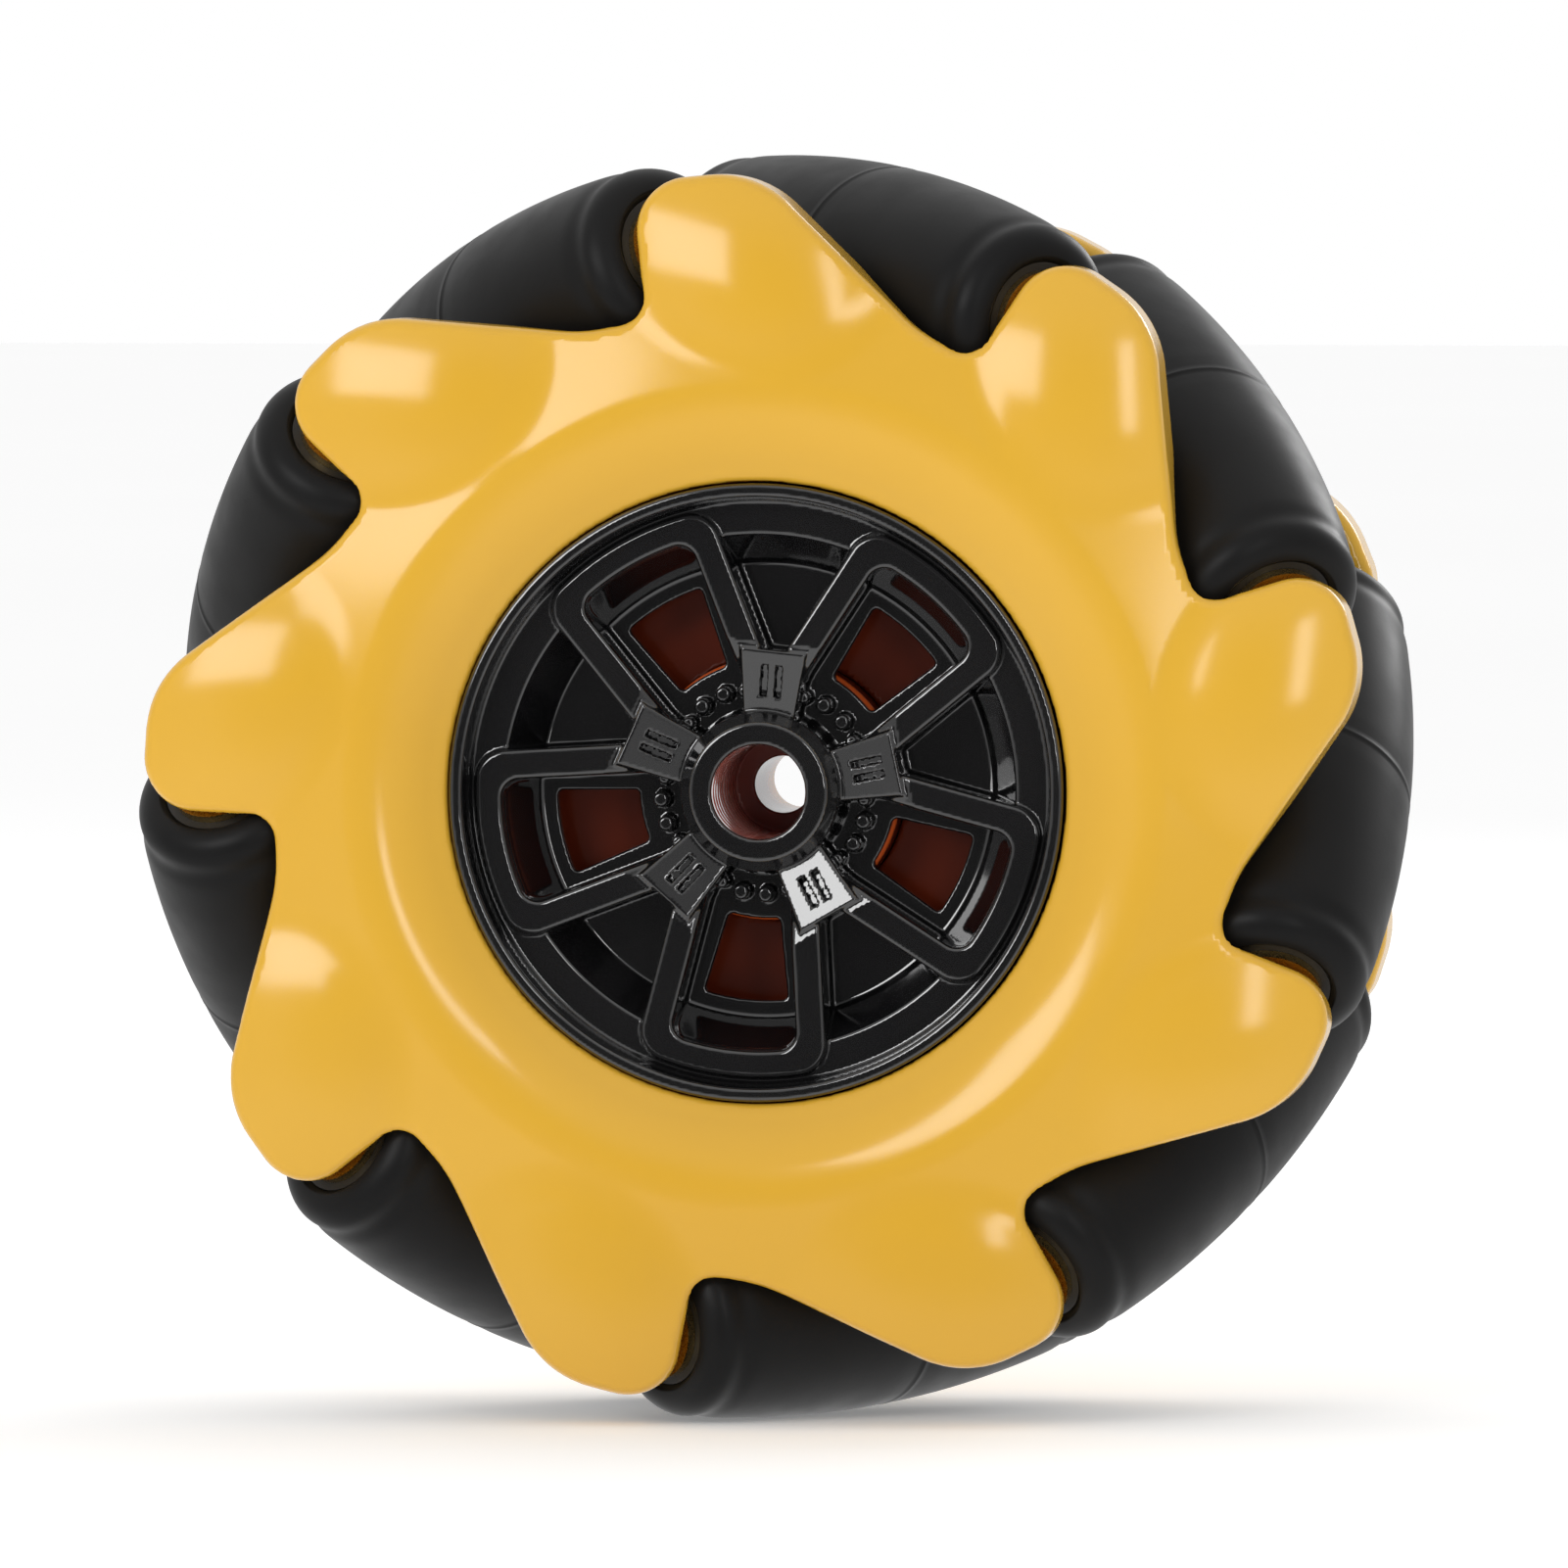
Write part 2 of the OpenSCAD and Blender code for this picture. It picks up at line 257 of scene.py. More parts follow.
DOME_LEAN = math.radians(40)
MELT = 0.7                  # over this width a dome flows into the face round it
LOBE_BACK = HALF_W - 8.4


def dome(out, across):
    """Level of the dome over a pin's end, seen from its own lobe."""
    u = (out - DOME_OUT) * math.cos(DOME_LEAN) + (across - DOME_ACROSS) * math.sin(DOME_LEAN)
    v = (across - DOME_ACROSS) * math.cos(DOME_LEAN) - (out - DOME_OUT) * math.sin(DOME_LEAN)
    return DOME_TOP - u * u / (2 * DOME_LONG) - v * v / (2 * DOME_SHORT)


def domes(out, across):
    """Level of the nearest lobe's dome, flowing into the two beside it."""
    turn_cos, turn_sin = math.cos(math.radians(STEP)), math.sin(math.radians(STEP))
    down = -dome(out, across)
    for way in (-1, 1):
        beside = dome(out * turn_cos - way * across * turn_sin, way * out * turn_sin + across * turn_cos)
        down = melt(down, -beside, MELT)
    return -down


def lobed_ring(points):
    """Half of the wheel's body: dish, crest, lobes with their pin bosses, and drum."""
    out, across = fold(points, FIRST_ROLLER - TIP_TO_ROLLER, ROLLERS)
    z = points[:, 2]
    r = np.hypot(out, across)
    beyond = r - FALL_FROM
    falling = HALF_W + FACE_PROUD - FALL * (np.sqrt(beyond ** 2 + FALL_SOFT) + beyond) / 2
    face = (z + melt(-falling, -domes(out, across), MELT)) * FACE_SCALE
    dish = (CREST_R - r) * DISH_IN + (z - HALF_W) * DISH_UP
    body = cut(face, dish, 3.2)
    body = cut(body, LOBES.distance(out, across, NEAR_LOBES), 0.6)
    body = cut(body, LOBE_BACK - z, 0.9)
    drum = cut(r - DRUM_R, np.maximum(z - LIP_Z + 1, 0.04 - z), 0.25)
    body = join(body, drum, 1.6)
    body = cut(body, CAP_R + CAP_GAP - r, 0.3)
    return cut(body, -roller_space(points), 0.5)


def turned(points):
    """The points turned half a turn about the first roller's radial line."""
    a = math.radians(FIRST_ROLLER)
    c, s = math.cos(2 * a), math.sin(2 * a)
    return np.stack([
        points[:, 0] * c + points[:, 1] * s,
        points[:, 0] * s - points[:, 1] * c,
        -points[:, 2],
    ], 1)


WEB_BACK, WEB_FRONT = 3.0, 5.5
TUBE_R = 10.1
TUBE_FIT = 0.03
POST_RING_R = 18.5          # the plate screws and their posts stand on this circle
POST_R = 3.0
POST_LOW, POST_HIGH = -2.9, 4.9
RIB_T, RIB_DRAFT = 1.6, 0.02
RIB_LOW, RIB_HIGH = 4.0, 13.2
COLLAR_WALL, COLLAR_HIGH = 2.0, 13.5
SCREW_PAD_R, SCREW_PAD_LOW, SCREW_PAD_HIGH = 3.3, 4.1, 5.9
PLATE_SCREW_HOLE_R = 1.4


def slab(value, low, high):
    """Distance outside the layer between two levels."""
    return np.abs(value - (low + high) / 2) - (high - low) / 2


def web(points, side):
    """The disc from the drum to the hub core, with each point's radius and height above mid-plane."""
    z = points[:, 2] * side
    r = np.hypot(points[:, 0], points[:, 1])
    return cut(r - BED_R - 0.4, slab(z, WEB_BACK, WEB_FRONT), 0.2), r, z


def front_plate_field(points):
    flat, r, z = web(points, 1)
    along, across = fold(points, RIB_TURN + 180 / SPOKES, SPOKES)
    post = np.hypot(along - POST_RING_R, across) - POST_R
    post = cut(post, slab(z, POST_LOW, POST_HIGH), 0.3)
    inner = join(flat, post, 0.6)
    inner = cut(inner, TUBE_R + TUBE_FIT - r, 0.2)
    return join(lobed_ring(points), inner, 0.6)


def rear_plate_field(points):
    flat, r, z = web(points, -1)
    collar = cut(r - TUBE_R - COLLAR_WALL, slab(z, WEB_BACK, COLLAR_HIGH), 0.35)
    along, across = fold(points, RIB_TURN, SPOKES)
    half_rib = RIB_T / 2 - RIB_DRAFT * (z - WEB_FRONT)
    rib = cut(np.abs(across) - half_rib, slab(z, RIB_LOW, RIB_HIGH), 0.3)
    rib = cut(rib, np.maximum(r - BED_R - 0.4, TUBE_R + 1 - along), 0.3)
    inner = join(join(flat, collar, 0.7), rib, 0.7)
    inner = cut(inner, TUBE_R + TUBE_FIT - r, 0.25)
    along, across = fold(points, RIB_TURN + 180 / SPOKES, SPOKES)
    from_screw = np.hypot(along - POST_RING_R, across)
    pad = cut(from_screw - SCREW_PAD_R, slab(z, SCREW_PAD_LOW, SCREW_PAD_HIGH), 0.25)
    inner = cut(join(inner, pad, 0.4), PLATE_SCREW_HOLE_R - from_screw, 0.1)
    return join(lobed_ring(turned(points)), inner, 0.6)


HEAD_R = 3.6
SCREW_R = 2.2
HEX_AF = 12.2
HEX_DEPTH = 8.5
COUNTERBORE_FLOOR = 0.6
GROOVE_DEPTH, GROOVE_WAVES = 0.2, 4.5   # grooves in the passage: depth, and waves in radians a millimetre


def ridges(z):
    """Fine grooves round the screw's passage: how deep they are at each level."""
    return GROOVE_DEPTH * np.maximum(np.sin((z - COUNTERBORE_FLOOR) * GROOVE_WAVES), 0)


def hub_core_field(points):
    x, y, z = points.T
    r = np.hypot(x, y)
    middle, half = (CORE_FRONT + CORE_REAR) / 2, (CORE_FRONT - CORE_REAR) / 2
    tube = cut(r - TUBE_R, np.abs(z - middle) - half, 0.45)
    flange = cut(r - CORE_FLANGE_R, np.abs(z) - WEB_BACK + 0.05, 0.3)
    body = join(tube, flange, 0.4)
    body = cut(body, -np.maximum(r - HEAD_R - ridges(z), COUNTERBORE_FLOOR - z), 0.2)
    body = cut(body, -(r - SCREW_R), 0.2)
    from_flat = np.abs(np.mod(np.arctan2(y, x) + math.pi / 3, math.pi / 3) - math.pi / 6)
    hexagon = r * np.cos(from_flat) - HEX_AF / 2
    return cut(body, -np.maximum(hexagon, z - (CORE_REAR + HEX_DEPTH)), 0.25)


BOSS_TOP = HALF_W - 4.6
FLOOR_TOP = CAP_BACK + 1.2
SHELF_TOP = 15.2            # flat ring between the cap's rim and its recessed floor
SHELF_IN = 19.7
SHELF_FOOT = 17.5
SPOKE_TOP = 16.0
SPOKE_W = 2.3
BOSS_R = 6.1
FRAME_OUT, FRAME_IN = 21.85, 19.8
SPOKE_LEAN = 0.155          # how much the two spokes of a frame spread for each millimetre outwards
SPOKE_FROM, SPOKE_ACROSS = 8.4, 4.4     # a spoke's middle line starts here, out and across
WINDOW_R, WINDOW_HALF = 13.05, 3.15     # middle radius of a window, and half of its depth
WINDOW_HALF_ANGLE = 11.5
PAD_FROM, PAD_TO = 5.6, 10.9
PAD_HALF_W, PAD_SPREAD, PAD_FALL = 1.35, 0.11, 0.3
PAD_FACE_SCALE = 0.96       # brings the height above a pad's slope near to the distance from it
SLOT_FROM, SLOT_TO, SLOT_ACROSS, SLOT_HALF_W, SLOT_DEPTH = 7.3, 9.7, 0.55, 0.26, 0.8
LUGS = ((7.9, 0.95, 0.62), (7.3, 2.5, 0.5))     # out, across, radius
LUG_TALL = 2.6
CAP_TURN = RIB_TURN - 3.0   # angle of the middle of the cap's first window

CAP_SECTION = Outline([
    [CAP_IN, CAP_BACK, 0.15],
    [SHELF_FOOT + 0.6, CAP_BACK, 0.3],
    [SHELF_IN, SHELF_TOP - 1.8, 0.3],
    [CAP_R - 1.8, SHELF_TOP - 1.8, 0.3],
    [CAP_R - 1.8, CAP_BACK, 0.2],
    [CAP_R - 0.4, CAP_BACK, 0.2],
    [CAP_R, CAP_FRONT - 3.8, 1.0],
    [CAP_R, CAP_FRONT, 0.4],
    [CAP_R - 1.0, CAP_FRONT, 0.35],
    [CAP_R - 1.35, SHELF_TOP, 0.3],
    [SHELF_IN, SHELF_TOP, 0.4],
    [SHELF_FOOT, FLOOR_TOP, 0.6],
    [BOSS_R, FLOOR_TOP, 0.5],
    [BOSS_R, BOSS_TOP - 1.0, 0.4],
    [BOSS_R - 0.9, BOSS_TOP, 0.4],
    [CAP_IN, BOSS_TOP, 0.3],
])


def spoke_edge(along, across, side):
    """Outside of a spoke's outer (side 1) or inner (side -1) edge; spokes spread outwards."""
    middle = SPOKE_ACROSS + SPOKE_LEAN * (along - SPOKE_FROM)
    return (across - middle) / math.sqrt(1 + SPOKE_LEAN * SPOKE_LEAN) - side * SPOKE_W / 2


def hub_cap_field(points):
    z = points[:, 2]
    along, across = fold(points, CAP_TURN, SPOKES)
    r = np.hypot(along, across)
    across = np.abs(across)
    angle = np.degrees(np.arctan2(across, along))
    body = CAP_SECTION.distance(r, z)
    body = np.maximum(body, (HEAD_R + ridges(z) * (z < BOSS_TOP - 0.9) - r) * 0.8)

    # the pierced floor: one window in each sector
    beside_window = (angle - WINDOW_HALF_ANGLE) * math.radians(1) * r
    window = cut(np.abs(r - WINDOW_R) - WINDOW_HALF, beside_window, 0.4)
    body = cut(body, -np.maximum(window, z - FLOOR_TOP - 1.5), 0.2)

    # the frame round each window: two spokes and the arc that joins them
    outer = cut(spoke_edge(along, across, 1), r - FRAME_OUT, 2.0)
    inner = cut(spoke_edge(along, across, -1), r - FRAME_IN, 1.3)
    frame_rib = np.maximum(np.maximum(outer, -inner), SPOKE_FROM - along)
    pad_along, pad_across = fold(points, CAP_TURN + 180 / SPOKES, SPOKES)
    above_pad = (z - SPOKE_TOP - 0.2 + PAD_FALL * (PAD_TO - pad_along)) * PAD_FACE_SCALE
    spoke_level = np.maximum(slab(z, FLOOR_TOP - 0.5, SPOKE_TOP), above_pad + 0.35)
    frame_rib = cut(frame_rib, spoke_level, 0.4)

    # the pad between two windows: its face slopes in towards the boss and has two slots
    pad_across = np.abs(pad_across)
    pad = np.maximum(slab(pad_along, PAD_FROM, PAD_TO), pad_across - PAD_HALF_W - PAD_SPREAD * pad_along)
    pad = cut(pad, np.maximum(above_pad, CAP_BACK + 0.3 - z), 0.3)
    slot = np.maximum(slab(pad_along, SLOT_FROM, SLOT_TO), np.abs(pad_across - SLOT_ACROSS) - SLOT_HALF_W)
    pad = cut(pad, -np.maximum(slot, -above_pad - SLOT_DEPTH), 0.12)

    # small round lugs at each window's inner end
    lug = np.full(len(points), 1e9)
    for out, aside, radius in LUGS:
        lug = np.minimum(lug, np.hypot(along - out, across - aside) - radius)
    lug = cut(lug, slab(z, FLOOR_TOP - 1, FLOOR_TOP + LUG_TALL), 0.3)

    body = join(body, frame_rib, 0.3)
    body = join(body, pad, 0.3)
    return join(body, lug, 0.2)


# ---- From a field to a mesh ----

BLOCK_REACH = 0.87 * 1.25   # half of a block's diagonal, with room for fields that run a little steep


def sample(field, axes, block=6):
    """The field on a grid. Blocks far from the surface take their middle's value."""
    counts = [len(a) for a in axes]
    values = np.empty(counts)
    spans = [range(0, n, block) for n in counts]
    step = axes[0][1] - axes[0][0]
    starts = np.array([[i, j, k] for i in spans[0] for j in spans[1] for k in spans[2]])
    low = np.array([a[0] for a in axes])
    middles = low + (starts + (block - 1) / 2) * step
    guess = field(middles)
    near = np.abs(guess) < step * (block * BLOCK_REACH + 1)
    offset = np.stack(np.meshgrid(*[np.arange(block)] * 3, indexing="ij"), -1).reshape(-1, 3)
    for start, value in zip(starts[~near], guess[~near]):
        i, j, k = start
        values[i:i + block, j:j + block, k:k + block] = value
    kept = starts[near]
    for first in range(0, len(kept), 2000):
        index = (kept[first:first + 2000, None] + offset[None]).reshape(-1, 3)
        index = index[(index < counts).all(1)]
        values[tuple(index.T)] = field(low + index * step)
    return values


def slope(field, points, eps=0.02):
    """How the field grows along each axis."""
    grad = np.empty_like(points)
    for k in range(3):
        shift = np.zeros(3)
        shift[k] = eps
        grad[:, k] = (field(points + shift) - field(points - shift)) / (2 * eps)
    return grad


def surface_net(field, low, high, step):
    """Points and quads over the field's zero surface: one point in each cell that it crosses."""
    axes = [np.arange(a, b + step, step) for a, b in zip(low, high)]
    values = sample(field, axes)
    counts = np.array(values.shape)
    cells = counts - 1
    total = int(np.prod(cells))
    # every grid edge that the surface crosses adds a quad and pulls on its four cells' points
    hits = np.zeros(total)
    sums = np.zeros((3, total))
    edges = []
    for axis in range(3):
        a = np.moveaxis(values, axis, 0)[:-1]
        b = np.moveaxis(values, axis, 0)[1:]
        crossed = (a < 0) != (b < 0)
        index = np.argwhere(crossed)
        a, b = a[crossed], b[crossed]
        others = [k for k in range(3) if k != axis]
        full = np.empty_like(index)
        full[:, axis], full[:, others[0]], full[:, others[1]] = index.T
        place = full.astype(float)
        place[:, axis] += a / (a - b)
        inner = np.ones(len(full), bool)
        corner = []
        for da, db in ((1, 1), (0, 1), (0, 0), (1, 0)):
            cell = full.copy()
            cell[:, others[0]] -= da
            cell[:, others[1]] -= db
            good = (cell >= 0).all(1) & (cell < cells).all(1)
            inner &= good
            flat = np.ravel_multi_index(np.clip(cell, 0, cells - 1).T, cells)
            corner.append(flat)
            hits += np.bincount(flat[good], minlength=total)
            for k in range(3):
                sums[k] += np.bincount(flat[good], weights=place[good, k], minlength=total)
        ring = np.stack(corner, 1)[inner]
        forward = (a < 0)[inner] != (axis == 1)
        ring[~forward] = ring[~forward][:, ::-1]
        edges.append(ring)
    # the points, then a few steps that bring each onto the surface
    used = np.flatnonzero(hits)
    number = np.full(total, -1)
    number[used] = np.arange(len(used))
    points = (sums[:, used] / hits[used]).T * step + np.array(low)
    quads = number[np.concatenate(edges)]
    for _ in range(3):
        grad = slope(field, points)
        size = np.maximum((grad ** 2).sum(1), 0.05)
        move = np.clip(field(points) / size, -step, step)
        points = points - grad * move[:, None]
    normal = slope(field, points)
    return points, quads, normal / np.linalg.norm(normal, axis=1)[:, None]


def mesh_piece(name, points, faces, normals=None):
    """A smooth-shaded piece from points in metres."""
    mesh = bpy.data.meshes.new(name)
    mesh.from_pydata(points.tolist(), [], [list(map(int, f)) for f in faces])
    mesh.validate()
    mesh.shade_smooth()
    if normals is not None and len(mesh.vertices) == len(normals):
        mesh.normals_split_custom_set_from_vertices(normals.tolist())
    piece = bpy.data.objects.new(name, mesh)
    bpy.context.scene.collection.objects.link(piece)
    return piece


def moulded(name, field, low, high, step):
    """A piece from the field's zero surface inside a box of the lying wheel."""
    points, quads, normals = surface_net(field, low, high, step)
    turned_normals = np.stack([normals[:, 0], -normals[:, 2], normals[:, 1]], 1)
    return mesh_piece(name, standing(points), quads, turned_normals)


# ---- Rollers ----

SHOULDER = 2.2              # radius of the rubber's shoulder
SIDE_TILT = math.radians(12.4)          # how much the side leans where the shoulder begins
RUBBER_SHY = 0.02           # the rubber's side stays this far inside the wheel's circle


def side_point(round_by):
    """(radius, place along the axis) of a roller's side where it touches the wheel's circle."""
    depth = WHEEL_R - RUBBER_SHY - AXIS_R / math.cos(round_by)
    lean = math.sin(round_by) * math.sin(TILT)
    return depth * math.sqrt(1 - lean * lean), AXIS_R * math.tan(round_by) / math.sin(TILT) + depth * lean


SEAM = 0.045                # how far the parting line stands out at a roller's waist
GROOVE_AT, GROOVE_W, GROOVE_D = 2.75, 0.75, 0.16     # shallow groove behind each shoulder


SIDE_STEPS, SHOULDER_STEPS = 60, 14


def groove(s):
    """How deep the shoulder's groove is at this place along the roller."""
    away = (s - HALF_L + GROOVE_AT) / GROOVE_W
    return GROOVE_D * math.exp(-away * away)


def roller_profile():
    """Half of a roller's outline, from its waist line to the inner edge of its end face."""
    target = HALF_L - SHOULDER * (1 - math.sin(SIDE_TILT))      # here the side meets the shoulder
    low, high = 0.0, 0.5
    for _ in range(40):
        middle = (low + high) / 2
        low, high = (middle, high) if side_point(middle)[1] < target else (low, middle)
    ends_at = low
    pts = [(side_point(0)[0], 0.0), (side_point(0)[0], 0.1), (side_point(0)[0] - SEAM, 0.19)]
    for k in range(2, SIDE_STEPS + 1):
        r, s = side_point(ends_at * k / SIDE_STEPS)
        pts.append((r - SEAM * max(0.0, 1 - k / 6) - groove(s), s))
    centre_r = side_point(ends_at)[0] - SHOULDER * math.cos(SIDE_TILT)
    for k in range(1, SHOULDER_STEPS + 1):
        a = (math.pi / 2 - SIDE_TILT) * (1 - k / SHOULDER_STEPS)
        s = HALF_L - SHOULDER * (1 - math.cos(a))
        pts.append((centre_r + SHOULDER * math.sin(a) - groove(s), s))
    inner = CORE_R + 0.05
    pts += [(inner + 0.45, HALF_L), (inner + 0.3, HALF_L - 0.06), (inner + 0.2, HALF_L - 0.3),
            (inner, HALF_L - 0.38), (inner, HALF_L - 1.2)]
    return pts


def revolve(profile, turns=96):
    """Points and quads of a closed ring of revolution about Z from a closed profile (r, s)."""
    prof = np.array(profile, float)
    a = 2 * np.pi * np.arange(turns) / turns
    points = np.stack([
        prof[:, 0][None] * np.cos(a)[:, None],
        prof[:, 0][None] * np.sin(a)[:, None],
        np.broadcast_to(prof[:, 1], (turns, len(prof))),
    ], -1).reshape(-1, 3)
    n = len(prof)
    quads = []
    for i in range(turns):
        j = (i + 1) % turns
        for k in range(n):
            m = (k + 1) % n
            quads.append((i * n + k, j * n + k, j * n + m, i * n + m))
    return points, np.array(quads)


def at_roller(points, index):
    """Points round a roller's own axis, moved to that roller of the lying wheel."""
    x, y, z = points.T
    y, z = y * math.cos(TILT) - z * math.sin(TILT), y * math.sin(TILT) + z * math.cos(TILT)
    x = x + AXIS_R
    a = math.radians(FIRST_ROLLER + STEP * index)
    return np.stack([x * math.cos(a) - y * math.sin(a), x * math.sin(a) + y * math.cos(a), z], 1)


def make_tyres():
    """The nine rubbers, each in place of its CAD node."""
    half = roller_profile()
    profile = [(r, -s) for r, s in reversed(half[1:])] + half
    points, quads = revolve(profile)
    tyres = []
    for i in range(ROLLERS):
        tyre = mesh_piece(f"roller_rubber_{i + 1}", standing(at_roller(points, i)), quads)
        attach(tyre, f"roller_{i + 1}")
        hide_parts(f"roller_tyre_{i + 1}")
        tyres.append(tyre)
    return tyres


# ---- Materials ----

# painted shade for the screw's passage
PAINTED_PASSAGE_SHADE = (0.42, 0.11, 0.08)
# painted shade for the yellow plastic closed in behind the cap
PAINTED_CAVITY_SHADE = (0.15, 0.02, 0.006)
# painted highlight on the hub tube's edge inside the painted cavity shade
LIT_EDGE = (0.75, 0.12, 0.02)


def new_material(name):
    """A material with its nodes, its shader and object coordinates."""
    material = bpy.data.materials.new(name)
    material.use_nodes = True
    nodes, links = material.node_tree.nodes, material.node_tree.links
    shader = nodes["Principled BSDF"]
    place = nodes.new("ShaderNodeTexCoord")
    return material, nodes, links, shader, place


def noise(nodes, links, place, scale, detail=3.0, rough=0.5):
    tex = nodes.new("ShaderNodeTexNoise")
    tex.inputs["Scale"].default_value = scale
    tex.inputs["Detail"].default_value = detail
    tex.inputs["Roughness"].default_value = rough
    links.new(place.outputs["Object"], tex.inputs["Vector"])
    return tex.outputs["Fac"]


def ramp(nodes, links, value, low, high, from_low=0.3, from_high=0.7):
    """Value turned into a number between low and high."""
    node = nodes.new("ShaderNodeMapRange")
    node.inputs["From Min"].default_value = from_low
    node.inputs["From Max"].default_value = from_high
    node.inputs["To Min"].default_value = low
    node.inputs["To Max"].default_value = high
    links.new(value, node.inputs["Value"])
    return node.outputs["Result"]


def mixed(nodes, links, value, first, second):
    """A colour between two colours, by value."""
    node = nodes.new("ShaderNodeMix")
    node.data_type = "RGBA"
    node.inputs["A"].default_value = (*first, 1)
    node.inputs["B"].default_value = (*second, 1)
    links.new(value, node.inputs["Factor"])
    return node.outputs["Result"]


def bumped(nodes, links, shader, layers):
    """Stacks (height, strength, distance) layers into the shader's normal."""
    last = None
    for height, strength, distance in layers:
        bump = nodes.new("ShaderNodeBump")
        bump.inputs["Strength"].default_value = strength
        bump.inputs["Distance"].default_value = distance
        links.new(height, bump.inputs["Height"])
        if last is not None:
            links.new(last, bump.inputs["Normal"])
        last = bump.outputs["Normal"]
    links.new(last, shader.inputs["Normal"])


def blend_colour(nodes, links, value, first, second):
    """A colour between a socket's colour and a fixed one, by value."""
    node = nodes.new("ShaderNodeMix")
    node.data_type = "RGBA"
    links.new(value, node.inputs["Factor"])
    links.new(first, node.inputs["A"])
    node.inputs["B"].default_value = (*second, 1)
    return node.outputs["Result"]


def both(nodes, links, first, second):
    """The product of two values."""
    node = nodes.new("ShaderNodeMath")
    node.operation = "MULTIPLY"
    links.new(first, node.inputs[0])
    links.new(second, node.inputs[1])
    return node.outputs["Value"]


def from_axle(nodes, links, place):
    """Distance from the axle, and place along it, of a point of a piece."""
    parts = nodes.new("ShaderNodeSeparateXYZ")
    links.new(place.outputs["Object"], parts.inputs["Vector"])
    flat = nodes.new("ShaderNodeVectorMath")
    flat.operation = "MULTIPLY"
    flat.inputs[1].default_value = (1, 0, 1)
    links.new(place.outputs["Object"], flat.inputs[0])
    length = nodes.new("ShaderNodeVectorMath")
    length.operation = "LENGTH"
    links.new(flat.outputs["Vector"], length.inputs[0])
    return length.outputs["Value"], parts.outputs["Y"]


def shaded_passage(nodes, links, place, colour):
    """Painted shade: deep red-brown in the screw's passage."""
    r, y = from_axle(nodes, links, place)
    wall = HEAD_R + GROOVE_DEPTH
    passage = ramp(nodes, links, r, 1, 0, (wall + 0.1) * MM, (wall + 0.25) * MM)
    inside = ramp(nodes, links, y, 0, 1, -(BOSS_TOP - 0.2) * MM, -(BOSS_TOP - 0.6) * MM)
    before_socket = ramp(nodes, links, y, 1, 0, 6 * MM, 9 * MM)
    passage = both(nodes, links, both(nodes, links, passage, inside), before_socket)
    return blend_colour(nodes, links, passage, colour, PAINTED_PASSAGE_SHADE)


def shaded_inside(nodes, links, place, colour):
    """Painted shade: deep red-brown where the yellow plastic is closed in behind the cap, with a painted
    highlight, a lighter orange-red, on the tube's edge.
    """
    r, y = from_axle(nodes, links, place)
    drum = CAP_R + CAP_GAP
    within = ramp(nodes, links, r, 1, 0, (drum + 0.02) * MM, (drum + 0.12) * MM)
    behind = ramp(nodes, links, y, 0, 1, -(LIP_Z - 0.4) * MM, -(LIP_Z - 0.9) * MM)
    front_half = ramp(nodes, links, y, 1, 0, -2.0 * MM, -1.0 * MM)
    cavity = both(nodes, links, both(nodes, links, within, behind), front_half)
    colour = blend_colour(nodes, links, cavity, colour, PAINTED_CAVITY_SHADE)
    # painted highlight: a lighter orange-red ring on the tube's front edge within the painted cavity
    # shade
    rim = ramp(nodes, links, y, 1, 0, -(CORE_FRONT - 0.2) * MM, -(CORE_FRONT - 0.8) * MM)
    edge = ramp(nodes, links, r, 0, 1, 8 * MM, 9 * MM)
    edge = both(nodes, links, both(nodes, links, cavity, rim), edge)
    return blend_colour(nodes, links, edge, colour, LIT_EDGE)


def yellow_plastic():
    material, nodes, links, shader, place = new_material("yellow_plastic")
    broad = ramp(nodes, links, noise(nodes, links, place, 22), 0, 1)
    colour = mixed(nodes, links, broad, (0.70, 0.39, 0.034), (0.735, 0.418, 0.042))
    # painted shade in the hollows and the screw's passage, and a painted highlight on the tube's edge
    colour = shaded_passage(nodes, links, place, shaded_inside(nodes, links, place, colour))
    links.new(colour, shader.inputs["Base Color"])
    rough = ramp(nodes, links, noise(nodes, links, place, 140, 4), 0.13, 0.17)
    links.new(rough, shader.inputs["Roughness"])
    shader.inputs["IOR"].default_value = 1.5
    shader.inputs["Specular IOR Level"].default_value = 0.5
    bumped(nodes, links, shader, [
        (noise(nodes, links, place, 90, 2), 0.05, 0.0001),
        (noise(nodes, links, place, 1500, 2), 0.03, 0.00003),
    ])
    return material


def black_gloss():
    material, nodes, links, shader, place = new_material("black_gloss")
    broad = ramp(nodes, links, noise(nodes, links, place, 60), 0, 1)
    colour = mixed(nodes, links, broad, (0.0055, 0.0055, 0.006), (0.0085, 0.0083, 0.0085))
    # painted shade: the black cap's passage wall turns red-brown
    colour = shaded_passage(nodes, links, place, colour)
    links.new(colour, shader.inputs["Base Color"])
    rough = ramp(nodes, links, noise(nodes, links, place, 300, 4), 0.06, 0.1)
    links.new(rough, shader.inputs["Roughness"])
    shader.inputs["Specular IOR Level"].default_value = 1.0
    shader.inputs["Coat Weight"].default_value = 0.6
    shader.inputs["Coat Roughness"].default_value = 0.04
    bumped(nodes, links, shader, [(noise(nodes, links, place, 260, 2), 0.08, 0.00006)])
    return material


